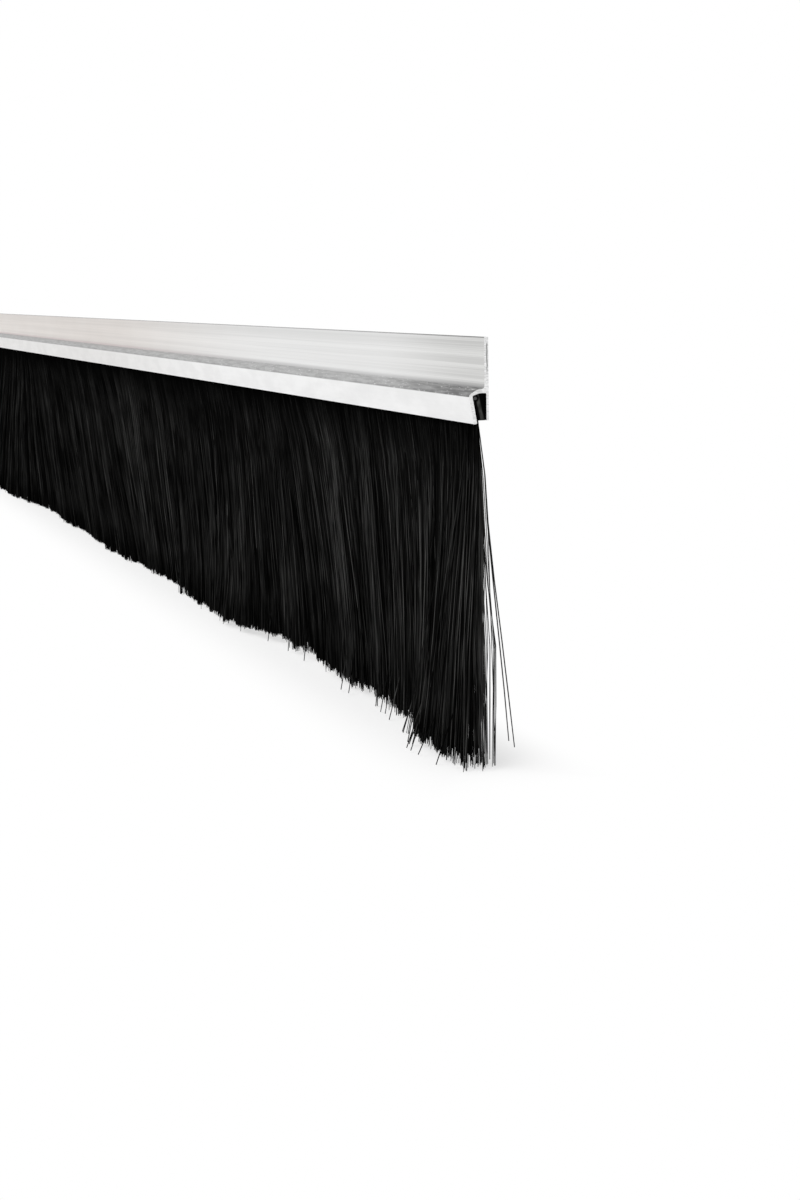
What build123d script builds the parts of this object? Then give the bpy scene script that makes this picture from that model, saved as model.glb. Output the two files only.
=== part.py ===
from build123d import *
from math import cos, pi, radians, sin
import os

# Door bottom brush: a deep black skirt of filaments, clamped in an aluminium h-shaped strip.
# X runs along the strip, +Y points at the door that the strip is fixed to, Z is up.
# The section is drawn with the door face at y = 0 and the filament tips at z = 0.
# The finished pieces then move together, so that the origin is the middle of the tips' footprint.

# Overall sizes, in millimetres
strip_length = 914.0
free_filament_length = 103.0
carrier_height = 25.4

# Carrier section: walls
flange_wall = 1.3
shelf_wall = 1.2
front_leg_wall = 1.1
back_leg_wall = 0.75

# Carrier section: channel
channel_depth = 6.4
channel_height = 10.3
back_leg_step = 1.05
shelf_flat_depth = 3.4
shelf_slope_degrees = 29.0
roof_flat_depth = 3.0
roof_slope_degrees = 18.0
front_leg_lean_degrees = 10.3

# Carrier section: rounding
flange_root_radius = 1.0
shelf_bend_radius = 3.0
front_corner_radius = 1.2
channel_corner_radius = 0.4
edge_radius = 0.25

# Brush insert
wire_diameter = 1.0
fold_wall = 0.6
bundle_wall = 0.8
seat_gap = 0.05
end_recess = 1.0

# Skirt: its tips spread to a band that waves along the strip, less in the middle by a share
tip_spread = 7.5
tip_lean = 0.5
wave_height = 3.3
wave_calming = 0.22
wave_length = 255.0
wave_start = 8.0
points_per_wave = 8

# Heights and directions of the section, as (y, z)
leg_tip_height = free_filament_length
shelf_top = leg_tip_height + channel_height
flange_top = leg_tip_height + carrier_height
back_leg_tip = leg_tip_height + back_leg_step
slope = radians(shelf_slope_degrees)
roof_slope = radians(roof_slope_degrees)
lean = radians(front_leg_lean_degrees)
along_shelf = Vector(-cos(slope), -sin(slope))
along_roof = Vector(-cos(roof_slope), -sin(roof_slope))
under_roof = Vector(sin(roof_slope), -cos(roof_slope))
along_leg = Vector(sin(lean), -cos(lean))
through_leg = Vector(cos(lean), sin(lean))
level = Vector(1, 0)


def meet(start, direction, other_start, other_direction):
    """The point where two lines of the section cross."""
    across = direction.X * other_direction.Y - direction.Y * other_direction.X
    between = other_start - start
    step = (between.X * other_direction.Y - between.Y * other_direction.X) / across
    return start + direction * step


def region(*corners):
    """A flat region with straight sides between its corners."""
    return make_face(Polyline(*corners, close=True))


def rounded(shape, corner, radius):
    """The shape with one corner rounded."""
    return fillet(shape.vertices().sort_by_distance(corner)[0], radius)


def along_strip(section, recess=0.0):
    """A solid of the section that runs along the strip, short of each end by the recess."""
    run = strip_length - 2 * recess
    return extrude(Plane.YZ.offset(-run / 2) * section, run)


# Corners that both the carrier and what it holds are drawn from
shelf_bend = Vector(-shelf_flat_depth, shelf_top)
front_corner = shelf_bend + along_shelf * ((channel_depth - shelf_flat_depth) / cos(slope))
leg_tip = front_corner + along_leg * ((front_corner.Y - leg_tip_height) / cos(lean))
leg_tip_inside = leg_tip + through_leg * front_leg_wall
channel_roof = shelf_top - shelf_wall
roof_bend = Vector(-roof_flat_depth, channel_roof)
channel_corner = meet(roof_bend, along_roof, leg_tip_inside, along_leg)

# The folded head of the filaments lies against the front leg, as high as the roof lets it
head_radius = wire_diameter / 2 + fold_wall
head_offset = head_radius + seat_gap
beside_leg = leg_tip_inside + through_leg * head_offset
under_slope = meet(beside_leg, along_leg, roof_bend + under_roof * head_offset, along_roof)
under_flat = meet(beside_leg, along_leg, Vector(0, channel_roof - head_offset), level)
wire_centre = min(under_slope, under_flat, key=lambda centre: centre.Y)

# Faces of the clamped filaments, level with the front leg's tip
mouth_level = Vector(0, leg_tip_height)
bundle_front = leg_tip_inside + through_leg * seat_gap
bundle_back = bundle_front + through_leg * bundle_wall
mouth_front = meet(bundle_front, along_leg, mouth_level, level)
mouth_back = meet(bundle_back, along_leg, mouth_level, level)


def carrier_profile():
    """The h-shaped extrusion: flange, shelf, and two legs crimped on the brush."""
    flange_root = Vector(-flange_wall, shelf_top)
    section = region(
        Vector(0, back_leg_tip),
        Vector(0, flange_top),
        Vector(-flange_wall, flange_top),
        flange_root,
        shelf_bend,
        front_corner,
        leg_tip,
        leg_tip_inside,
        channel_corner,
        roof_bend,
        Vector(-back_leg_wall, channel_roof),
        Vector(-back_leg_wall, back_leg_tip),
    )
    section = rounded(section, flange_root, flange_root_radius)
    section = rounded(section, shelf_bend, shelf_bend_radius)
    section = rounded(section, front_corner, front_corner_radius)
    section = rounded(section, channel_corner, channel_corner_radius)
    section = rounded(section, Vector(-back_leg_wall, channel_roof), channel_corner_radius)
    for edge in (
        Vector(0, back_leg_tip),
        Vector(0, flange_top),
        Vector(-flange_wall, flange_top),
        leg_tip,
        leg_tip_inside,
        Vector(-back_leg_wall, back_leg_tip),
    ):
        section = rounded(section, edge, edge_radius)
    return along_strip(section)


def core_wire():
    """The round wire inside the fold of the filaments."""
    return along_strip(Pos(wire_centre) * Circle(wire_diameter / 2), end_recess)


def backing_strip():
    """The strip that fills the channel behind the filaments, hollowed for their folded head."""
    back = -back_leg_wall - seat_gap
    roof = channel_roof - seat_gap
    front_face = bundle_back + through_leg * seat_gap
    section = region(
        Vector(back, back_leg_tip),
        Vector(back, roof - channel_corner_radius),
        Vector(back - channel_corner_radius, roof),
        Vector(roof_bend.X, roof),
        meet(front_face, along_leg, Vector(0, wire_centre.Y), level),
        meet(front_face, along_leg, Vector(0, back_leg_tip), level),
    )
    section -= Pos(wire_centre) * Circle(head_radius + seat_gap)
    return along_strip(section, end_recess)


def tip_edge(offset):
    """One long edge of the tips' footprint, a smooth wave along the strip."""
    half_run = strip_length / 2 - end_recess
    spans = round(2 * half_run / wave_length * points_per_wave)
    points = []
    for index in range(spans + 1):
        x = half_run - 2 * half_run * index / spans
        from_near_end = half_run - x
        local_height = wave_height * (1 - wave_calming * sin(pi * index / spans))
        wave = local_height * cos(2 * pi * (from_near_end - wave_start) / wave_length)
        points.append((x, offset - wave, 0))
    return Spline(*points)


def skirt():
    """The free filaments, from the channel's mouth down to the waving band of their tips."""
    half_run = strip_length / 2 - end_recess
    mouth = Polyline(
        (half_run, mouth_front.X, leg_tip_height),
        (-half_run, mouth_front.X, leg_tip_height),
        (-half_run, mouth_back.X, leg_tip_height),
        (half_run, mouth_back.X, leg_tip_height),
        close=True,
    )
    middle = (mouth_front.X + mouth_back.X) / 2 - tip_lean
    front = tip_edge(middle - tip_spread / 2)
    back = tip_edge(middle + tip_spread / 2)
    ends = [Line(front @ 1, back @ 1), Line(back @ 0, front @ 0)]
    return loft([make_face(mouth), make_face([front, back, *ends])], ruled=True)


def bristles():
    """The filaments as one soft solid: head over the wire, clamped bundle and free skirt."""
    bundle = region(
        mouth_front,
        mouth_back,
        wire_centre + through_leg * (bundle_wall - head_radius),
        wire_centre - through_leg * head_radius,
    )
    head = Pos(wire_centre) * Circle(head_radius)
    bore = Pos(wire_centre) * Circle(wire_diameter / 2 + seat_gap)
    clamped = along_strip(bundle + head - bore, end_recess)
    return clamped + skirt()


pieces = {
    "carrier_profile": carrier_profile(),
    "core_wire": core_wire(),
    "backing_strip": backing_strip(),
    "bristles": bristles(),
}
whole = Compound([solid for piece in pieces.values() for solid in piece.solids()]).bounding_box()
to_origin = Pos(-whole.center().X, -whole.center().Y, -whole.min.Z)

os.makedirs("parts", exist_ok=True)
for name, piece in pieces.items():
    export_step(to_origin * piece, f"parts/{name}.step")
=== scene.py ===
import math

import bpy
import numpy as np
from mathutils import Matrix, Vector


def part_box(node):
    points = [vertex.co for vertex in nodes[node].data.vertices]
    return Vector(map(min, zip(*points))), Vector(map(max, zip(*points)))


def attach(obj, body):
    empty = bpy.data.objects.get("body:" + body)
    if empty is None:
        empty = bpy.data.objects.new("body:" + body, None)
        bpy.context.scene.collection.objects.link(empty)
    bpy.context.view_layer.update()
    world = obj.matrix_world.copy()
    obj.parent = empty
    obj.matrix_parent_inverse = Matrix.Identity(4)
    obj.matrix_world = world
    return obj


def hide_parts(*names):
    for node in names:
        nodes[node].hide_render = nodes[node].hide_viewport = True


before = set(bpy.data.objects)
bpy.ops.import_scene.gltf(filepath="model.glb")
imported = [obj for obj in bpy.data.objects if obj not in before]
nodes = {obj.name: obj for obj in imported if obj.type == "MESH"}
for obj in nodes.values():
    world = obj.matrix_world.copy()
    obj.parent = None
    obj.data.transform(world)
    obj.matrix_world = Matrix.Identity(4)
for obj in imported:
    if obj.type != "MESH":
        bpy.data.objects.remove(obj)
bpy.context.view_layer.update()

# Door bottom brush. The aluminium carrier, the wire and the backing are the frame's own nodes.
# The skirt is rebuilt here as separate nylon filaments, clamped where the frame's bristles are.
# Lengths are in metres, x runs along the strip, +y faces the door, z is up from the tips.

MM = 0.001

# Places read from the frame
carrier_low, carrier_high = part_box("carrier_profile")
wire_low, wire_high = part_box("core_wire")
bristles_low, bristles_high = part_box("bristles")
near_end = carrier_high.x
far_end = carrier_low.x
door_face = carrier_high.y
strip_length = near_end - far_end
wire_centre = (wire_low + wire_high) / 2
leg_tip = carrier_low.z


def mouth_of_channel():
    """Front and back of the filament bundle where it leaves the channel, from the frame's bristles."""
    points = np.array([v.co[:] for v in nodes["bristles"].data.vertices])
    nearest = points[np.abs(points[:, 2] - leg_tip) < 0.5 * MM]
    return nearest[:, 1].min(), nearest[:, 1].max()


mouth_front, mouth_back = mouth_of_channel()
mouth_middle = (mouth_front + mouth_back) / 2

# Heights of the section: the shelf at the flange's root, and its front corner
SHELF_ROOT = leg_tip + 10.3 * MM
FRONT_CORNER = leg_tip + 8.6 * MM

# How far they lean for each unit of height: the front leg, and the painted highlight streak on the
# backing
LEG_SLOPE = 0.18
STREAK_SLOPE = 0.234

# Filaments are closed tubes, with a ring of corners at each of these shares of their height
FILAMENT_COUNT = 20000
FILAMENT_RADIUS = 0.15 * MM
PIECES = 6
SIDES = 3
RING_STEPS = (0.0, 0.07, 0.17, 0.31, 0.48, 0.66, 0.84, 1.0)
ROOT_DEPTH = 2.0 * MM
END_RECESS = near_end - bristles_high.x

# A thicker filament widens over this share of its rings, and the girths are shares of a plain one's
WIDENING_SHARE = 0.3
TIP_GIRTH = 0.8
CORE_EXTRA_GIRTH = 1.4
HANGING_GIRTH = 1.5
STRAY_GIRTH = 1.6

# The tips inside the mass stand higher, and every filament bulges towards the door, most of all a
# fifth of the way down
CORE_LIFT = 1.5 * MM
DOOR_BULGE = 0.8 * MM

# Painted sheen is read from a map with a few patterns side by side, a little further on at each next
# side
PATTERNS = 8
SIDE_STEP = 0.0036

# Seeds of the random draws
SKIRT_SEED = 20
TURN_SEED = 7
FRINGE_SEED = 5
FOLD_SEED = 9

# Roots follow this step across the channel's mouth, with a small jitter, so they stand evenly
GOLDEN_STEP = 0.618034
ROOT_JITTER = 0.1
DENSITY_STEPS = 400

# How the skirt stands, by the distance from the near end in millimetres: a first value, then the
# start, end and change of each stage. These values are in millimetres too: the shift of the tips
# along the strip, their front edge from the door face, the depth of their band, how ragged they
# are, their height, and the width of a lock.
TIP_SWEEP = (
    4.0,
    (2, 30, 8.0),
    (30, 52, 11.0),
    (60, 88, -3.0),
    (100, 170, 21.0),
    (172, 222, -15.0),
    (225, 275, 17.0),
    (275, 340, 11.0),
    (430, 560, 44.0),
    (690, 914, -96.0),
)
TIP_FRONT = (
    -12.2,
    (-4, 6, -1.9),
    (16, 28, 0.5),
    (34, 43, 4.4),
    (46, 80, 4.0),
    (80, 100, 0.8),
    (96, 112, -1.9),
    (118, 165, 1.5),
    (203, 229, -8.6),
    (250, 300, 2.8),
    (322, 362, 4.2),
    (380, 500, -3.9),
    (610, 680, 1.6),
    (690, 800, -8.8),
)
TIP_BAND = (8.5, (2, 16, -1.0), (60, 160, 0.5))
TIP_RAGGED = (1.2, (90, 230, -0.5), (300, 420, -0.5))
TIP_HEIGHT = (2.7, (12, 35, 0.7), (250, 400, -2.8))
LOCK_WIDTH = (2.4, (100, 600, 8.0), (680, 780, -6.0))

# These values are plain numbers: the bend of a filament's lean and of its sweep, how closely the
# filaments stand, and how bright their painted sheen is
FRONT_BEND = (1.2, (5, 40, 0.4), (200, 300, 0.9), (340, 470, -1.5))
SWEEP_BEND = (1.0, (10, 40, 0.5), (200, 300, -0.4))
DENSITY = (1.0, (640, 740, 0.6))
SHEEN = (
    0.90,
    (25, 70, 0.08),
    (145, 180, -0.16),
    (245, 285, 0.05),
    (320, 370, -0.12),
    (480, 560, -0.08),
)

# The tips also drift a little, with a new random value at each spacing
SWEEP_DRIFT = 1.6 * MM
SWEEP_DRIFT_SPACING = 19 * MM
FRONT_DRIFT = 0.6 * MM
FRONT_DRIFT_SPACING = 31 * MM

# A lock's filaments share a shift of their tips and a bow, along the strip and across it. Tufts are
# wider locks with no bow, and each filament adds a shift and a bow of its own.
LOCK_ROWS = 4
TUFT_ROWS = 2
TUFT_WIDTH = 4.0
LOCK_SHIFT = (0.70 * MM, 0.45 * MM)
TUFT_SHIFT = (0.90 * MM, 0.35 * MM)
OWN_SHIFT = (0.55 * MM, 0.30 * MM)
LOCK_BOW = (0.38 * MM, 0.36 * MM)
OWN_BOW = (0.25 * MM, 0.17 * MM)

# Shares of the filaments that leave their lock, and how far from the near end they do so. Depth
# goes from -1 in front to 1 behind, and long filaments of the front layer hang below the edge.
LOOSE_SHARE = 0.06
FRONT_LAYER = -0.55
HANGING_SHARE = 0.035
HANGING_RUN = 240 * MM
CROSSING_SHARE = 0.06
CROSSING_RUN = 18 * MM
REACHING_SHARE = 0.2
REACHING_RUN = 10 * MM
SINGLE_SHEEN_RUN = 150 * MM

# The near end, in millimetres. Each height has a place from the door face: the back of the mass,
# and the outermost of the fringe behind it. Three strays stand well off, and their places go
# along the strip from its end, back from the door face, and up.
FREE_LENGTH = 103.0
MASS_BACK = (
    (4, -3.8),
    (20, -4.3),
    (39, -4.4),
    (51, -4.0),
    (63, -3.5),
    (78, -2.7),
    (90, -2.9),
    (103, -3.1),
)
FRINGE_BACK = (
    (3, -0.9),
    (20, -0.4),
    (38, 0.1),
    (50, -0.2),
    (62, -0.4),
    (78, -0.9),
    (90, -1.7),
    (103, -3.1),
)
STRAY_ROOT = (-1.4, -3.1, 105)
STRAYS = (
    ((0, -1.6, 89), (0, -0.8, 73), (0, 1.2, 52.6), (0, 4.0, 25.2), (0, 5.7, 6.0)),
    ((0, -1.5, 88), (0, -0.3, 68.4), (0, 3.6, 37.7), (0, 6.6, 12.5), (0, 7.6, 3.8)),
    ((0, -1.6, 89), (0, -0.7, 75), (0, 0.2, 38), (0, 0.7, 20), (0, 1.0, 9.6)),
)

# Folded heads over the wire: rows from each end of the channel, layers, and points of the arc
FOLD_ROWS = 9
FOLD_LAYERS = 2
FOLD_POINTS = 9

# Floor, room and lamp
FLOOR_SIZE = 30.0
ROOM_LEVEL = 0.55
LAMP_PLACE = Vector((0.35, -1.5, 1.9))
LAMP_AIM = Vector((0.1, 0.0, 0.05))
LAMP_SIZE = (2.4, 1.6)
LAMP_POWER = 42.0

# Camera, placed from the near end's door face
CAMERA_PLACE = Vector((472.0, -212.69, 143.29)) * MM
CAMERA_YAW = 68.749
CAMERA_PITCH = 10.15
CAMERA_ROLL = -1.027
FOCAL_PIXELS = 1750.0
IMAGE_HEIGHT = 1200.0
SENSOR = 36.0


def link_input(tree, socket, value):
    """Sets a socket to a plain value, or links another node's output to it."""
    if isinstance(value, bpy.types.NodeSocket):
        tree.links.new(value, socket)
    else:
        socket.default_value = value


def add_node(tree, kind, inputs=None, **settings):
    """A new node with its settings and its inputs, by name or number."""
    made = tree.nodes.new(kind)
    for key, value in settings.items():
        setattr(made, key, value)
    for key, value in (inputs or {}).items():
        link_input(tree, made.inputs[key], value)
    return made


def maths(tree, operation, first, second=0.0, clamp=False):
    """The result of an operation on two values."""
    made = add_node(tree, "ShaderNodeMath", {0: first, 1: second}, operation=operation, use_clamp=clamp)
    return made.outputs[0]


def scaled(tree, value, factor, offset):
    """The value times the factor, plus the offset."""
    made = add_node(tree, "ShaderNodeMath", {0: value, 1: factor, 2: offset}, operation="MULTIPLY_ADD")
    return made.outputs[0]


def weigh(tree, first, second, share):
    """The first value times its share, plus the second times the rest."""
    first_part = maths(tree, "MULTIPLY", first, share)
    second_part = maths(tree, "MULTIPLY", second, 1 - share)
    return maths(tree, "ADD", first_part, second_part)


def ramp(tree, value, low, high, to_low=0.0, to_high=1.0):
    """A smooth step of the value from low to high."""
    inputs = {"Value": value, "From Min": low, "From Max": high, "To Min": to_low, "To Max": to_high}
    made = add_node(tree, "ShaderNodeMapRange", inputs, interpolation_type="SMOOTHSTEP")
    return made.outputs["Result"]


def blend_colours(tree, factor, first, second, mode="MIX"):
    """The first colour, blended towards the second, or multiplied by it, as far as the factor says."""
    made = add_node(tree, "ShaderNodeMix", data_type="RGBA", blend_type=mode)
    link_input(tree, made.inputs[0], factor)
    link_input(tree, made.inputs[6], first)
    link_input(tree, made.inputs[7], second)
    return made.outputs[2]


def noise(tree, vector, scale, detail=2.0, roughness=0.5):
    """A smooth random value from 0 to 1, with its middle about 0.5."""
    inputs = {"Vector": vector, "Scale": scale, "Detail": detail, "Roughness": roughness}
    return add_node(tree, "ShaderNodeTexNoise", inputs).outputs["Fac"]


def stretched(tree, vector, scale):
    """The place with each of its axes scaled."""
    made = add_node(tree, "ShaderNodeVectorMath", {0: vector, 1: scale}, operation="MULTIPLY")
    return made.outputs[0]


def seen_by_eye(tree):
    """One for a ray from the camera, also after a reflection, and nothing for a ray that lights."""
    path = add_node(tree, "ShaderNodeLightPath")
    seen = maths(tree, "MAXIMUM", path.outputs["Is Camera Ray"], path.outputs["Is Glossy Ray"])
    return maths(tree, "MAXIMUM", seen, path.outputs["Is Transmission Ray"])


def new_material(name):
    """A material with its node tree and its main shader."""
    material = bpy.data.materials.new(name)
    material.use_nodes = True
    tree = material.node_tree
    return material, tree, tree.nodes["Principled BSDF"]


def grey(level):
    """An opaque grey."""
    return (level, level, level, 1.0)


def across_range(tree, value, start, end, soft):
    """One inside the range and nothing outside it, with soft edges."""
    rise = ramp(tree, value, start - soft, start + soft)
    fall = ramp(tree, value, end - soft, end + soft, 1.0, 0.0)
    return maths(tree, "MULTIPLY", rise, fall)


def aluminium():
    """Mill-finish aluminium: draw lines along the strip, painted reflection and shade on its faces, a
    shelf darkened by painted shade with bright specks, sawn ends.
    """
    material, tree, shader = new_material("mill_aluminium")
    place = add_node(tree, "ShaderNodeTexCoord").outputs["Object"]
    split = add_node(tree, "ShaderNodeSeparateXYZ", {0: place})
    x, y, z = split.outputs
    fine_lines = noise(tree, stretched(tree, place, (5, 2400, 2400)), 1.0, 3.0, 0.65)
    broad_lines = noise(tree, stretched(tree, place, (2.5, 500, 500)), 1.0, 2.0, 0.5)
    lines = weigh(tree, fine_lines, broad_lines, 0.5)
    brighter = ramp(tree, lines, 0.36, 0.64)

    # The flange's tone is painted reflection: greyest beside the near end, warming slowly towards the
    # far end, and painted shade makes it a little darker towards its top
    middle = ramp(tree, x, near_end - 90 * MM, near_end - 5 * MM, 1.0, 0.0)
    far = ramp(tree, x, near_end - 560 * MM, near_end - 180 * MM, 1.0, 0.0)
    flange = blend_colours(tree, middle, (0.68, 0.68, 0.67, 1), (0.80, 0.80, 0.795, 1))
    flange = blend_colours(tree, far, flange, (0.71, 0.665, 0.63, 1))
    shade = blend_colours(tree, brighter, grey(0.93), grey(1.04))
    shade_near = blend_colours(tree, ramp(tree, lines, 0.40, 0.60), grey(0.86), grey(1.08))
    shade = blend_colours(tree, middle, shade_near, shade)
    flange = blend_colours(tree, 1.0, flange, shade, "MULTIPLY")
    # Painted shade: a little darker towards the flange's top
    top_shade = ramp(tree, z, carrier_high.z - 7 * MM, carrier_high.z - 0.4 * MM, 1.0, 0.93)
    flange = blend_colours(tree, 1.0, flange, top_shade, "MULTIPLY")

    # Painted shade: it darkens into its rounded root, above the shelf, darkest by the near end and warm
    # towards the far end
    root = ramp(tree, z, SHELF_ROOT - 0.2 * MM, SHELF_ROOT + 1.9 * MM, 1.0, 0.0)
    root_shade_far = blend_colours(tree, far, grey(0.42), (0.46, 0.37, 0.37, 1))
    root_shade_colour = blend_colours(tree, middle, grey(0.20), root_shade_far)
    flange = blend_colours(tree, root, flange, root_shade_colour)

    # The shelf's top is rougher, and darkened by painted shade and reflection, most of all by the near
    # end. It is mottled, with bright specks towards the near end
    on_shelf = ramp(tree, y, door_face - 1.75 * MM, door_face - 1.45 * MM, 1.0, 0.0)
    above = ramp(tree, z, FRONT_CORNER - 0.75 * MM, FRONT_CORNER - 0.40 * MM)
    on_shelf = maths(tree, "MULTIPLY", on_shelf, above)
    mottle = noise(tree, stretched(tree, place, (110, 900, 900)), 1.0, 3.0, 0.6)
    specks = noise(tree, stretched(tree, place, (420, 1500, 1500)), 1.0, 2.0, 0.7)
    speck = maths(tree, "MULTIPLY", ramp(tree, specks, 0.60, 0.74), maths(tree, "SUBTRACT", 1.0, far))
    shelf_shade = blend_colours(tree, ramp(tree, mottle, 0.35, 0.65), grey(0.13), grey(0.25))
    shelf_shade_far = blend_colours(tree, ramp(tree, mottle, 0.35, 0.65), grey(0.31), grey(0.41))
    shelf = blend_colours(tree, maths(tree, "MAXIMUM", middle, far), shelf_shade, shelf_shade_far)
    shelf = blend_colours(tree, speck, shelf, grey(0.80))
    colour = blend_colours(tree, on_shelf, flange, shelf)

    # Painted reflection: the front leg is the brightest face, its painted sheen is blotchy, and it is
    # warmer and darker towards the far end
    clouds = noise(tree, stretched(tree, place, (60, 160, 160)), 1.0, 3.0, 0.55)
    cloudy = ramp(tree, weigh(tree, clouds, lines, 0.75), 0.36, 0.64)
    leg_reflection = blend_colours(tree, cloudy, grey(0.86), grey(0.93))
    leg_reflection_far = blend_colours(tree, cloudy, (0.75, 0.74, 0.73, 1), (0.81, 0.80, 0.79, 1))
    leg = blend_colours(tree, far, leg_reflection, leg_reflection_far)
    on_leg = ramp(tree, z, FRONT_CORNER - 0.75 * MM, FRONT_CORNER - 0.40 * MM, 1.0, 0.0)
    before = ramp(tree, y, door_face - 3.2 * MM, door_face - 2.8 * MM, 1.0, 0.0)
    colour = blend_colours(tree, maths(tree, "MULTIPLY", on_leg, before), colour, leg)

    # The face against the door is plain
    on_back = ramp(tree, y, door_face - 0.20 * MM, door_face - 0.05 * MM)
    back = blend_colours(tree, 1.0, shade, grey(0.76), "MULTIPLY")
    colour = blend_colours(tree, on_back, colour, back)

    # Painted shade: the flange's thin top edge is dark, darkest by the near end
    on_top = ramp(tree, z, carrier_high.z - 0.30 * MM, carrier_high.z - 0.12 * MM)
    colour = blend_colours(tree, on_top, colour, blend_colours(tree, middle, grey(0.10), grey(0.26)))

    # Sawn ends: pale, with fine cross lines, and a painted shadow of a burr, a dark wavy line down the
    # flange's middle
    from_end = maths(tree, "ABSOLUTE", x)
    at_end = ramp(tree, from_end, near_end - 0.06 * MM, near_end - 0.02 * MM)
    saw = noise(tree, stretched(tree, place, (200, 900, 5000)), 1.0, 2.0, 0.5)
    sawn = blend_colours(tree, ramp(tree, saw, 0.35, 0.65), grey(0.66), grey(0.90))
    burr_shadow_place = noise(tree, stretched(tree, place, (1, 1, 420)), 1.0, 2.0, 0.6)
    burr_shadow_line = scaled(tree, burr_shadow_place, 0.5 * MM, door_face - 0.72 * MM)
    off_burr = maths(tree, "ABSOLUTE", maths(tree, "SUBTRACT", y, burr_shadow_line))
    on_burr_shadow = ramp(tree, off_burr, 0.10 * MM, 0.22 * MM, 1.0, 0.0)
    above_root = ramp(tree, z, SHELF_ROOT + 3 * MM, SHELF_ROOT + 7 * MM)
    below_top = ramp(tree, z, carrier_high.z - 2.2 * MM, carrier_high.z - 1.2 * MM, 1.0, 0.0)
    on_burr_shadow = maths(tree, "MULTIPLY", on_burr_shadow, above_root)
    on_burr_shadow = maths(tree, "MULTIPLY", on_burr_shadow, below_top)
    sawn = blend_colours(tree, on_burr_shadow, sawn, grey(0.22))
    colour = blend_colours(tree, at_end, colour, sawn)
    link_input(tree, shader.inputs["Base Color"], colour)

    blotches = noise(tree, stretched(tree, place, (30, 60, 60)), 1.0, 2.0, 0.5)
    rough = scaled(tree, blotches, 0.16, 0.28)
    rough = maths(tree, "ADD", rough, maths(tree, "MULTIPLY", on_shelf, 0.18), clamp=True)
    link_input(tree, shader.inputs["Roughness"], rough)
    shader.inputs["Metallic"].default_value = 1.0
    grit = maths(tree, "MULTIPLY", maths(tree, "MULTIPLY", specks, on_shelf), 1.5)
    height = maths(tree, "ADD", lines, grit)
    bump = add_node(tree, "ShaderNodeBump", {"Height": height, "Strength": 0.3, "Distance": 0.03 * MM})
    link_input(tree, shader.inputs["Normal"], bump.outputs[0])
    return material


def steel_wire():
    """Drawn steel wire, dark, with a fine grain along it."""
    material, tree, shader = new_material("drawn_wire")
    place = add_node(tree, "ShaderNodeTexCoord").outputs["Object"]
    grain = noise(tree, stretched(tree, place, (20, 5000, 5000)), 1.0, 2.0, 0.5)
    colour = blend_colours(tree, grain, grey(0.05), grey(0.12))
    link_input(tree, shader.inputs["Base Color"], colour)
    link_input(tree, shader.inputs["Roughness"], ramp(tree, grain, 0.2, 0.8, 0.4, 0.6))
    shader.inputs["Metallic"].default_value = 1.0
    return material


def black_plastic():
    """Extruded black plastic, greyed along the front edge by a painted highlight streak."""
    material, tree, shader = new_material("black_backing")
    place = add_node(tree, "ShaderNodeTexCoord").outputs["Object"]
    split = add_node(tree, "ShaderNodeSeparateXYZ", {0: place})
    _, y, z = split.outputs
    grain = noise(tree, stretched(tree, place, (40, 1800, 700)), 1.0, 3.0, 0.6)
    # Painted highlight: a grey streak on the backing, in a leaning band behind its front edge
    lean = maths(tree, "MULTIPLY", maths(tree, "SUBTRACT", z, leg_tip), STREAK_SLOPE)
    behind = maths(tree, "ADD", maths(tree, "SUBTRACT", y, mouth_back), lean)
    highlight_streak = across_range(tree, behind, 0.95 * MM, 2.0 * MM, 0.25 * MM)
    highlight_streak = maths(tree, "MULTIPLY", highlight_streak, ramp(tree, grain, 0.30, 0.70, 0.35, 1.0))
    colour = blend_colours(tree, highlight_streak, grey(0.0015), (0.075, 0.076, 0.071, 1))
    link_input(tree, shader.inputs["Base Color"], colour)
    link_input(tree, shader.inputs["Roughness"], ramp(tree, grain, 0.3, 0.7, 0.55, 0.75))
    shader.inputs["Specular IOR Level"].default_value = 0.02
    bump = add_node(tree, "ShaderNodeBump", {"Height": grain, "Strength": 0.3, "Distance": 0.05 * MM})
    link_input(tree, shader.inputs["Normal"], bump.outputs[0])
    return material


def nylon():
    """Black nylon filament, its sheen a painted highlight in the base colour. Its map runs down a
    filament, and side by side on it are a few patterns of painted sheen, each from dark to bright."""
    material, tree, shader = new_material("black_nylon")
    along = add_node(tree, "ShaderNodeUVMap", uv_map="strand").outputs["UV"]
    split = add_node(tree, "ShaderNodeSeparateXYZ", {0: along})
    across, down, _ = split.outputs
    sheen = maths(tree, "FRACT", maths(tree, "MULTIPLY", across, float(PATTERNS)))
    band = noise(tree, stretched(tree, along, (4.0 * PATTERNS, 6.5, 1)), 1.0, 2.0, 0.5)
    # Painted highlight, broken into patches along each filament
    patchy_sheen = ramp(tree, band, 0.36, 0.64, 0.25, 1.5)
    # Painted shade under the carrier, darkest at the top of each filament
    shade_under_carrier = ramp(tree, down, 0.08, 0.50, 0.15, 1.0)
    level = maths(tree, "MULTIPLY", maths(tree, "MULTIPLY", sheen, sheen), patchy_sheen)
    level = maths(tree, "MULTIPLY", level, shade_under_carrier)
    # Painted highlight: the sheen is painted into the base colour, and the shader has no specular
    colour = blend_colours(tree, level, grey(0.0010), (0.078, 0.078, 0.076, 1))
    link_input(tree, shader.inputs["Base Color"], colour)
    link_input(tree, shader.inputs["Roughness"], ramp(tree, band, 0.3, 0.7, 0.4, 0.55))
    shader.inputs["Specular IOR Level"].default_value = 0.0
    return material


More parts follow.
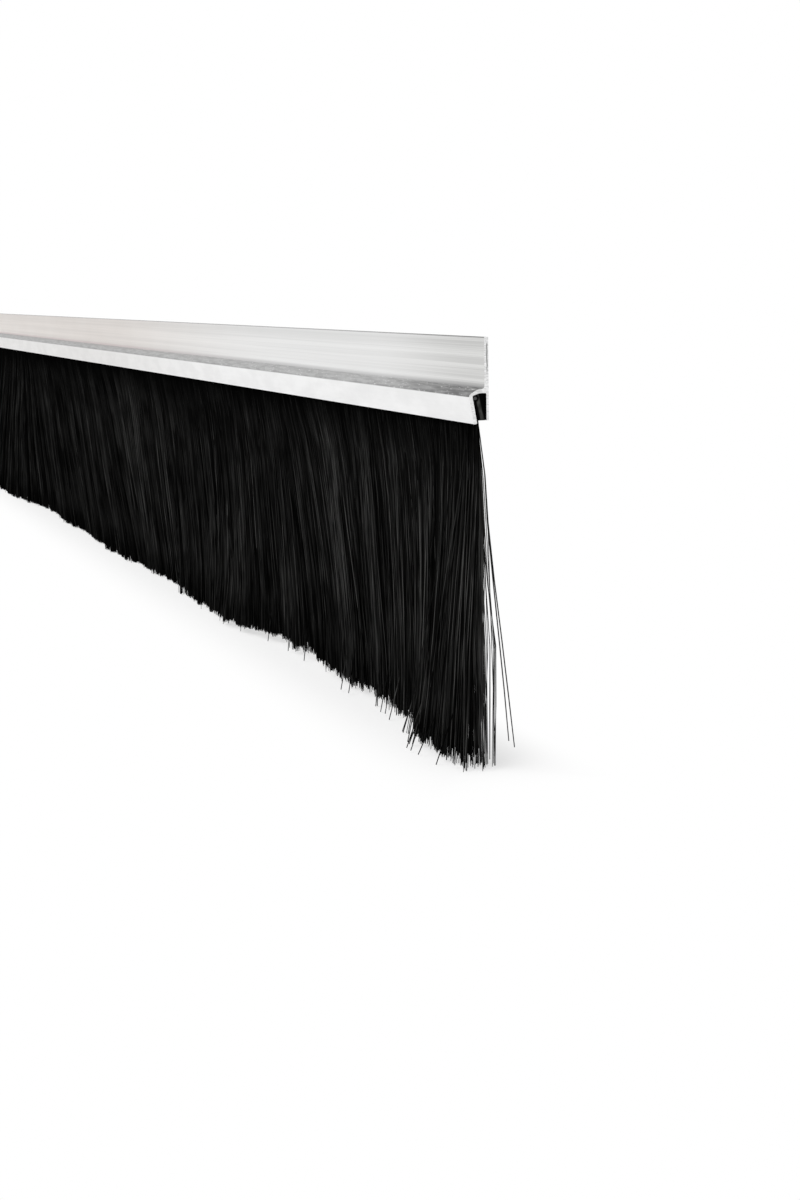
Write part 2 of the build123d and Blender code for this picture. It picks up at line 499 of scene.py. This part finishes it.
def smooth(value):
    """A smooth step from 0 to 1, as the value goes from 0 to 1."""
    value = np.clip(value, 0.0, 1.0)
    return value * value * (3 - 2 * value)


def staged(from_near, stages):
    """A value along the strip: the first one, then a smooth change over each stage."""
    first, *changes = stages
    value = np.full(len(from_near), float(first))
    for start, end, change in changes:
        value += change * smooth((from_near / MM - start) / (end - start))
    return value


def drift(places, spacing, generator):
    """A smooth random curve along the strip, from -1 to 1, with a new value at each spacing."""
    count = int(strip_length / spacing) + 4
    values = generator.uniform(-1, 1, count)
    at = (places - far_end) / spacing + 1
    low = np.clip(np.floor(at).astype(int), 0, count - 2)
    return values[low] + (values[low + 1] - values[low]) * smooth(at - low)


def locks(from_near, across, rows, wider, generator):
    """The number of the lock that each filament is in, and how many numbers there are. The locks
    stand in rows behind each other, and their width changes along the strip."""
    row = np.clip(((across + 1) / 2 * rows).astype(int), 0, rows - 1)
    number = np.zeros(len(from_near), int)
    count = 0
    for each in range(rows):
        edges = [0.0]
        while edges[-1] < strip_length:
            width = staged(np.array([edges[-1]]), LOCK_WIDTH)[0] * MM * wider
            edges.append(edges[-1] + width * generator.uniform(0.45, 1.55))
        chosen = row == each
        number[chosen] = count + np.searchsorted(edges, from_near[chosen])
        count += len(edges) + 1
    return number, count


def mean_of_lock(values, number, count):
    """For each filament, the mean of the values in its lock."""
    size = np.maximum(np.bincount(number, minlength=count), 1)
    return (np.bincount(number, values, minlength=count) / size)[number]


def spread_roots(generator):
    """Each filament's root in the channel's mouth, and how far back it lies: -1 in front, 1 behind."""
    inset = END_RECESS + FILAMENT_RADIUS
    order = np.arange(FILAMENT_COUNT)
    grid = np.linspace(0, strip_length - 2 * inset, DENSITY_STEPS)
    total = np.cumsum(staged(grid, DENSITY))
    share = (order + generator.random(FILAMENT_COUNT)) / FILAMENT_COUNT
    places = near_end - inset - np.interp(share, (total - total[0]) / (total[-1] - total[0]), grid)
    jitter = generator.uniform(0, ROOT_JITTER, FILAMENT_COUNT)
    across = 2 * ((order * GOLDEN_STEP + jitter) % 1) - 1
    half_mouth = (mouth_back - mouth_front) / 2 - FILAMENT_RADIUS
    return np.stack([places, mouth_middle + across * half_mouth], 1), across


def stand_tips(root, across, from_near, generator):
    """Where each tip stands in the waving band, seen from above and before the locks form."""
    places = root[:, 0]
    sweep = staged(from_near, TIP_SWEEP) * MM
    sweep_drift = SWEEP_DRIFT * drift(places, SWEEP_DRIFT_SPACING, generator)
    sweep += sweep_drift * smooth(from_near / (12 * MM))
    tip = root.copy()
    tip[:, 0] += sweep
    front = door_face + staged(near_end - tip[:, 0], TIP_FRONT) * MM
    front += FRONT_DRIFT * drift(places, FRONT_DRIFT_SPACING, generator)
    band = staged(from_near, TIP_BAND) * MM
    tip[:, 1] = front + (across + 1) / 2 * band
    return tip


def draw_together(tip, across, from_near, lock, tuft, generator):
    """Draws the tips of each lock together and shifts them, and returns each filament's bow. The
    front layers do so most, the outermost at the back a little, and those between not at all."""
    lock_number, lock_count = lock
    tuft_number, tuft_count = tuft
    free = (np.clip(-2.2 * across - 0.8, 0, 1) + 0.5 * np.clip(4 * across - 3, 0, 1))[:, None]
    pull = generator.uniform(0.1, 0.7, lock_count)[lock_number] * free[:, 0]
    for axis in range(2):
        tip[:, axis] += (mean_of_lock(tip[:, axis], *lock) - tip[:, axis]) * pull
    wide = staged(from_near, LOCK_WIDTH)[:, None] / LOCK_WIDTH[0]
    shift = (generator.normal(0, 1, (lock_count, 2)) * LOCK_SHIFT)[lock_number] * wide ** 0.6
    shift += (generator.normal(0, 1, (tuft_count, 2)) * TUFT_SHIFT)[tuft_number] * wide ** 0.6
    bow = (generator.normal(0, 1, (lock_count, 2)) * LOCK_BOW)[lock_number]
    tip += shift * free + generator.normal(0, 1, (FILAMENT_COUNT, 2)) * OWN_SHIFT
    return bow * free + generator.normal(0, 1, (FILAMENT_COUNT, 2)) * OWN_BOW


def loosen(tip, bow, from_near, generator):
    """Lets a few filaments cross the others, some of them out in front, and returns which."""
    loose = (generator.random(FILAMENT_COUNT) < LOOSE_SHARE) & (from_near > 4 * MM)
    number = loose.sum()
    tip[loose, 0] += generator.normal(-0.5 * MM, 4.5 * MM, number)
    tip[loose, 1] -= generator.uniform(0.0, 1.2 * MM, number)
    bow[loose, 1] -= generator.uniform(0.0, 1.0 * MM, number)
    return loose


def cut_tips(tip, across, from_near, lock, generator):
    """The height of each tip and its flick to one side, and which filaments hang or cross. Some are
    long, and those of them in front hang below the edge. By the near end some cross or reach out."""
    lock_number, lock_count = lock
    tip_base = staged(from_near, TIP_HEIGHT) * MM
    ragged = staged(from_near, TIP_RAGGED) * MM
    height = tip_base + (generator.normal(0.2, 0.9, lock_count))[lock_number] * ragged
    height += generator.normal(0, 0.5, FILAMENT_COUNT) * ragged

    long_share = 0.006 + 0.014 * smooth(1 - from_near / (60 * MM))
    long_share += HANGING_SHARE * smooth(1 - from_near / HANGING_RUN) * (across < FRONT_LAYER)
    long = generator.random(FILAMENT_COUNT) < long_share
    height = np.where(long, tip_base * generator.uniform(0.0, 0.25, FILAMENT_COUNT), height)
    turned = generator.normal(0, 1, (FILAMENT_COUNT, 2)) * (2.2 * MM, 0.5 * MM)
    flick = np.where(long[:, None], turned, 0.0)
    flick[long, 1] -= 0.5 * MM
    hanging = long & (across < FRONT_LAYER) & (from_near < HANGING_RUN)
    flick[hanging, 1] = np.maximum(3 * flick[hanging, 1] - 2 * MM, -4.5 * MM)

    near_front = (from_near < CROSSING_RUN) & (across < 0)
    crossing = near_front & (generator.random(FILAMENT_COUNT) < CROSSING_SHARE)
    tip[crossing, 0] -= generator.uniform(10 * MM, 26 * MM, crossing.sum())
    tip[crossing, 1] -= generator.uniform(0.5 * MM, 1.8 * MM, crossing.sum())
    nearest = (from_near < REACHING_RUN) & ~crossing
    reaching = nearest & (generator.random(FILAMENT_COUNT) < REACHING_SHARE)
    tip[reaching, 0] += generator.uniform(1.5 * MM, 6.0 * MM, reaching.sum())
    height[reaching] = generator.uniform(0.0, 1.6 * MM, reaching.sum())
    return np.maximum(height, FILAMENT_RADIUS), flick, hanging, crossing


def give_sheen(across, from_near, lock, tuft, loose, crossing, generator):
    """Each filament's painted sheen and its pattern. A lock shares its sheen, a tuft less so, and a few
    filaments shine by themselves, more of them by the near end. Those behind the front are darker,
    painted shade."""
    lock_number, lock_count = lock
    tuft_number, tuft_count = tuft
    near = smooth(1 - from_near / SINGLE_SHEEN_RUN)
    sheen = 0.14 + (0.42 - 0.24 * near) * generator.random(lock_count)[lock_number] ** 1.5
    sheen += (0.12 - 0.04 * near) * generator.random(tuft_count)[tuft_number]
    sheen += (0.50 + 0.30 * near) * generator.random(FILAMENT_COUNT) ** (4 - 1.5 * near)
    sheen[loose] += generator.uniform(0.0, 0.3, loose.sum())
    sheen[crossing] += 0.10
    # Painted shade: those behind the front layers, all but the outermost at the back, are darker, less
    # so by the near end
    behind = smooth((across + 0.75) / 0.9) * (1 - smooth((across - 0.45) / 0.4))
    behind *= 1 - 0.8 * smooth(1 - from_near / (12 * MM))
    sheen *= staged(from_near, SHEEN) * (1 - 0.55 * behind)
    pattern = generator.integers(0, PATTERNS, lock_count)[lock_number]
    own = generator.random(FILAMENT_COUNT) < 0.25 + 0.45 * near
    pattern[own] = generator.integers(0, PATTERNS, own.sum())
    return sheen, pattern


def inside_mass(across, from_near):
    """One for a filament deep inside the mass, and nothing at the mass's faces and ends."""
    from_end = np.minimum(from_near, strip_length - from_near)
    between_faces = smooth((across + 0.25) / 0.2) * smooth((0.75 - across) / 0.2)
    return between_faces * smooth((from_end / MM - 6) / 8)


def lay_out():
    """Arrays of one row for each filament: its root, tip, bends, bow and flick, and its sheen,
    pattern and girth. The filaments inside the mass are thicker, each in the place of a few."""
    generator = np.random.default_rng(SKIRT_SEED)
    root, across = spread_roots(generator)
    from_near = near_end - root[:, 0]
    tip = stand_tips(root, across, from_near, generator)
    lock = locks(from_near, across, LOCK_ROWS, 1.0, generator)
    tuft = locks(from_near, across, TUFT_ROWS, TUFT_WIDTH, generator)
    bow = draw_together(tip, across, from_near, lock, tuft, generator)
    loose = loosen(tip, bow, from_near, generator)
    height, flick, hanging, crossing = cut_tips(tip, across, from_near, lock, generator)
    sheen, pattern = give_sheen(across, from_near, lock, tuft, loose, crossing, generator)
    core = inside_mass(across, from_near)
    girth = 1 + CORE_EXTRA_GIRTH * core
    girth[hanging] = HANGING_GIRTH
    height += CORE_LIFT * core
    lean_bend = 1.0 + (staged(from_near, FRONT_BEND) - 1.0) * (1 - across) / 2
    bends = np.stack([staged(from_near, SWEEP_BEND), lean_bend], 1)
    tips = np.column_stack([tip, height])
    return (root, tips, bends, bow, flick), (sheen, pattern, girth)


def filament_paths(root, tips, bends, bow, flick):
    """Points of each filament, from its root in the channel down to its tip."""
    steps = np.array(RING_STEPS)
    top = leg_tip + ROOT_DEPTH
    height = tips[:, 2, None]
    points = np.empty((len(root), len(steps), 3))
    free = np.clip((steps - 0.02) / 0.98, 0, 1)[None]
    bowed = np.sin(math.pi * free) ** 2
    bulged = 12.2 * free * (1 - free) ** 4
    run = tips[:, :2] - root
    swept = 1 - (1 - free) ** bends[:, 0, None]
    leant = free ** bends[:, 1, None]
    points[:, :, 0] = root[:, 0, None] + run[:, 0, None] * swept + bow[:, 0, None] * bowed
    points[:, :, 1] = root[:, 1, None] + run[:, 1, None] * leant + bow[:, 1, None] * bowed
    points[:, :, 1] += DOOR_BULGE * bulged
    points[:, -1, :2] += flick
    points[:, :, 2] = top + (height - top) * steps
    return points


def filament_mesh(name, points, sheen, pattern, girth):
    """One mesh of closed tubes round the paths, with a map that runs down each."""
    count, rings, _ = points.shape
    along = np.gradient(points, axis=1)
    along /= np.linalg.norm(along, axis=2, keepdims=True)
    side = np.cross(along, (0.0, 1.0, 0.0))
    side /= np.linalg.norm(side, axis=2, keepdims=True)
    front = np.cross(side, along)
    turn = np.random.default_rng(TURN_SEED).uniform(0, 2 * np.pi, count)
    angles = turn[:, None] + 2 * np.pi * np.arange(SIDES) / SIDES
    width = 1 + (girth[:, None] - 1) * smooth(np.linspace(0, 1, rings) / WIDENING_SHARE)
    width[:, -1] *= TIP_GIRTH
    spoke = (
        np.cos(angles)[:, None, :, None] * side[:, :, None, :]
        + np.sin(angles)[:, None, :, None] * front[:, :, None, :]
    )
    vertices = points[:, :, None, :] + spoke * FILAMENT_RADIUS * width[:, :, None, None]
    vertices = vertices.reshape(-1, 3)

    per = rings * SIDES
    ring = np.arange(rings - 1)[:, None] * SIDES
    one = np.arange(SIDES)[None, :]
    two = (one + 1) % SIDES
    quads = np.stack([ring + one, ring + two, ring + SIDES + two, ring + SIDES + one], 2)
    quads = quads.reshape(-1, 4)[:, ::-1]
    caps = np.array([np.arange(SIDES), per - 1 - np.arange(SIDES)])
    start = np.arange(count)[:, None, None] * per
    corner_quads = (start + quads[None]).reshape(-1)
    corner_caps = (start + caps[None]).reshape(-1)
    quad_count = count * len(quads)
    cap_count = count * len(caps)

    mesh = bpy.data.meshes.new(name)
    mesh.vertices.add(len(vertices))
    mesh.vertices.foreach_set("co", vertices.astype(np.float32).ravel())
    corners = np.concatenate([corner_quads, corner_caps])
    mesh.loops.add(len(corners))
    mesh.loops.foreach_set("vertex_index", corners.astype(np.int32))
    totals = np.concatenate([np.full(quad_count, 4), np.full(cap_count, SIDES)])
    starts = np.concatenate([[0], np.cumsum(totals)[:-1]])
    mesh.polygons.add(len(totals))
    mesh.polygons.foreach_set("loop_start", starts.astype(np.int32))
    mesh.polygons.foreach_set("loop_total", totals.astype(np.int32))
    mesh.polygons.foreach_set("use_smooth", np.ones(len(totals), bool))

    vertex = corners % per
    filament = corners // per
    ring_number = vertex // SIDES
    side_number = vertex % SIDES
    column = pattern + 0.02 + 0.90 * np.clip(sheen, 0, 1)
    across = column[filament] / PATTERNS + SIDE_STEP * side_number
    down = 0.004 + 0.992 * ring_number / (rings - 1)
    for map_name in ("strand", "OFBake"):
        layer = mesh.uv_layers.new(name=map_name)
        layer.data.foreach_set("uv", np.stack([across, down], 1).astype(np.float32).ravel())
    mesh.update(calc_edges=True)
    mesh.validate()
    return mesh


def stray(points_mm):
    """A path through a few places, given in millimetres from the near end's door face."""
    places = np.array(points_mm, float) * MM
    places[:, 0] += near_end
    places[:, 1] += door_face
    lengths = np.concatenate([[0], np.cumsum(np.linalg.norm(np.diff(places, axis=0), axis=1))])
    at = np.array(RING_STEPS) * lengths[-1]
    return np.stack([np.interp(at, lengths, places[:, axis]) for axis in range(3)], 1)


def end_fringe():
    """Loose filaments at the near end: a sparse fringe behind the mass, and three well off it."""
    generator = np.random.default_rng(FRINGE_SEED)
    steps = np.array(RING_STEPS)
    heights = FREE_LENGTH + ROOT_DEPTH / MM * (1 - steps) - FREE_LENGTH * steps
    mass = np.interp(heights, *zip(*MASS_BACK))
    edge = np.interp(heights, *zip(*FRINGE_BACK))

    # Shares of the way from the mass to the outermost: a crowd beside the mass, and a few further out
    shares = np.concatenate([np.linspace(-0.40, 0.30, 34), np.linspace(0.36, 1.20, 13)])
    paths = []
    for share in shares + generator.normal(0, 0.02, len(shares)):
        reach = generator.uniform(-1.0, 8.0) + 2.0 * share
        lift = generator.uniform(0.0, 3.3) ** 1.5 * (1.2 - 0.5 * share)
        x = -1.3 + (reach + 1.3) * steps ** 1.4
        wave = np.sin(math.pi * steps * generator.uniform(1.0, 3.0)) * generator.normal(0, 0.28)
        aside = 0.40 - 0.16 * share
        apart = 1 - 0.45 * (1 - smooth((steps - 0.35) / 0.3)) * (share > 0.3)
        y = mass + (edge - mass) * share * apart + wave - aside * x * steps
        z = np.maximum((heights + (lift - heights[-1]) * steps ** 3) * MM, FILAMENT_RADIUS)
        paths.append(np.stack([near_end + x * MM, door_face + y * MM, z], 1))
    paths += [stray((STRAY_ROOT, *places)) for places in STRAYS]
    # Painted highlight: the fringe's sheen is bright, though it stands in the shade of the mass
    sheen = generator.uniform(0.5, 1.0, len(paths))
    pattern = generator.integers(0, PATTERNS, len(paths))

    # The first two strays, which stand furthest off, are thicker
    girth = np.ones(len(paths))
    girth[-3:-1] = STRAY_GIRTH
    return np.array(paths), sheen, pattern, girth


def add_skirt_piece(name, paths, material):
    """A piece of filaments that stands for the frame's bristles."""
    mesh = filament_mesh(name, *paths)
    mesh.materials.append(material)
    piece = bpy.data.objects.new(name, mesh)
    bpy.context.scene.collection.objects.link(piece)
    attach(piece, "root")
    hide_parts("bristles")


def make_skirt(material):
    """The skirt, as several pieces of about the same number of filaments."""
    lines, looks = lay_out()
    points = filament_paths(*lines)
    for number, chosen in enumerate(np.array_split(np.arange(len(points)), PIECES)):
        piece_looks = [look[chosen] for look in looks]
        add_skirt_piece(f"filaments_{number + 1}", (points[chosen], *piece_looks), material)
    add_skirt_piece("filaments_end", end_fringe(), material)


def make_fold(material):
    """The filaments' folded heads over the wire, in the few rows that show at each end."""
    generator = np.random.default_rng(FOLD_SEED)
    along = np.array([LEG_SLOPE, -1.0]) / math.hypot(LEG_SLOPE, 1.0)
    through = np.array([-along[1], along[0]])
    centre = np.array(wire_centre[1:])
    wire_radius = (wire_high.z - wire_low.z) / 2
    to_mouth = (centre[1] - leg_tip) / -along[1]
    turn = np.linspace(0, math.pi, FOLD_POINTS)
    paths = []
    for end, sign in ((near_end, -1), (far_end, 1)):
        for row in range(FOLD_ROWS):
            for layer in range(FOLD_LAYERS):
                radius = wire_radius + 0.06 * MM + FILAMENT_RADIUS * (1 + 1.9 * layer)
                x = end + sign * (END_RECESS + FILAMENT_RADIUS * (1 + 1.8 * row))
                x += generator.normal(0, 0.03 * MM)
                arc = centre - np.outer(np.cos(turn), through) * radius
                arc -= np.outer(np.sin(turn), along) * radius
                front = centre - through * radius + along * to_mouth
                tuck = mouth_back - mouth_front - FILAMENT_RADIUS * (1 + 1.9 * layer)
                back_foot = np.array([mouth_front, leg_tip]) + through * tuck
                back_bend = back_foot - along * (to_mouth - 2.6 * MM)
                line = np.vstack([front, arc, back_bend, back_foot])
                paths.append(np.column_stack([np.full(len(line), x), line]))
    paths = np.array(paths)
    sheen = generator.uniform(0.0, 0.45, len(paths))
    pattern = generator.integers(0, PATTERNS, len(paths))
    add_skirt_piece("bristle_fold", (paths, sheen, pattern, np.ones(len(paths))), material)


def dress_frame():
    """Gives the frame's own nodes their materials."""
    finishes = {
        "carrier_profile": aluminium(),
        "core_wire": steel_wire(),
        "backing_strip": black_plastic(),
    }
    for name, material in finishes.items():
        for slot in nodes[name].material_slots:
            slot.material = material


def make_floor():
    """A pale floor that stays white to the eye and keeps the brush's shadow."""
    mesh = bpy.data.meshes.new("floor")
    signs = ((-1, -1), (1, -1), (1, 1), (-1, 1))
    corners = [(x * FLOOR_SIZE, y * FLOOR_SIZE, 0) for x, y in signs]
    mesh.from_pydata(corners, [], [(0, 1, 2, 3)])
    floor = bpy.data.objects.new("floor", mesh)
    bpy.context.scene.collection.objects.link(floor)
    material, tree, shader = new_material("pale_floor")
    place = add_node(tree, "ShaderNodeTexCoord").outputs["Object"]
    cloud = noise(tree, place, 3.0)
    link_input(tree, shader.inputs["Base Color"], blend_colours(tree, cloud, grey(0.95), grey(0.97)))
    shader.inputs["Roughness"].default_value = 0.9
    shader.inputs["Specular IOR Level"].default_value = 0.0
    white = add_node(tree, "ShaderNodeEmission", {"Color": grey(1.0), "Strength": 1.0})
    seen = seen_by_eye(tree)

    # The brush's shadow shows close to the tips, and the floor turns plain white away from them
    split = add_node(tree, "ShaderNodeSeparateXYZ", {0: place})
    beside = maths(tree, "ABSOLUTE", maths(tree, "SUBTRACT", split.outputs[1], door_face - 6.0 * MM))
    beside = maths(tree, "SUBTRACT", beside, 5.0 * MM)
    beyond = maths(tree, "SUBTRACT", maths(tree, "ABSOLUTE", split.outputs[0]), near_end + 4.0 * MM)
    away = maths(tree, "MAXIMUM", beside, beyond)
    share = maths(tree, "MULTIPLY", seen, ramp(tree, away, -4 * MM, 30 * MM, 0.55, 1.0))
    mixed = add_node(tree, "ShaderNodeMixShader", {0: share, 1: shader.outputs[0], 2: white.outputs[0]})
    output = tree.nodes["Material Output"]
    link_input(tree, output.inputs["Surface"], mixed.outputs[0])
    mesh.materials.append(material)


def make_light():
    """A white room with one broad soft lamp above the front of the strip."""
    world = bpy.data.worlds.new("white_room")
    bpy.context.scene.world = world
    world.use_nodes = True
    tree = world.node_tree
    tree.nodes.clear()
    seen = seen_by_eye(tree)
    room = add_node(tree, "ShaderNodeBackground", {"Color": grey(ROOM_LEVEL), "Strength": 1.0})
    white = add_node(tree, "ShaderNodeBackground", {"Color": grey(1.0), "Strength": 1.0})
    mixed = add_node(tree, "ShaderNodeMixShader", {0: seen, 1: room.outputs[0], 2: white.outputs[0]})
    output = add_node(tree, "ShaderNodeOutputWorld")
    link_input(tree, output.inputs["Surface"], mixed.outputs[0])

    lamp = bpy.data.lights.new("soft_lamp", "AREA")
    lamp.shape = "RECTANGLE"
    lamp.size, lamp.size_y = LAMP_SIZE
    lamp.energy = LAMP_POWER
    holder = bpy.data.objects.new("soft_lamp", lamp)
    holder.location = LAMP_PLACE
    holder.rotation_euler = (LAMP_AIM - LAMP_PLACE).to_track_quat("-Z", "Y").to_euler()
    bpy.context.scene.collection.objects.link(holder)


def make_camera():
    """The camera that sees the strip as the photograph does."""
    yaw, pitch, roll = (math.radians(a) for a in (CAMERA_YAW, CAMERA_PITCH, CAMERA_ROLL))
    ahead = Vector((-math.sin(yaw) * math.cos(pitch), math.cos(yaw) * math.cos(pitch), -math.sin(pitch)))
    level = Vector((math.cos(yaw), math.sin(yaw), 0.0))
    over = level.cross(ahead)
    right = level * math.cos(roll) + over * math.sin(roll)
    up = over * math.cos(roll) - level * math.sin(roll)
    camera = bpy.data.cameras.new("camera")
    camera.lens = FOCAL_PIXELS / IMAGE_HEIGHT * SENSOR
    camera.sensor_width = SENSOR
    camera.sensor_fit = "AUTO"
    camera.clip_start = 0.01
    camera.clip_end = 200.0
    holder = bpy.data.objects.new("camera", camera)
    turn = Matrix((right, up, -ahead)).transposed().to_4x4()
    place = Vector((near_end, door_face, 0.0)) + CAMERA_PLACE
    holder.matrix_world = Matrix.Translation(place) @ turn
    bpy.context.scene.collection.objects.link(holder)
    bpy.context.scene.camera = holder


make_camera()
make_light()
make_floor()
dress_frame()
filament = nylon()
make_skirt(filament)
make_fold(filament)
bpy.context.scene.view_settings.view_transform = "Standard"
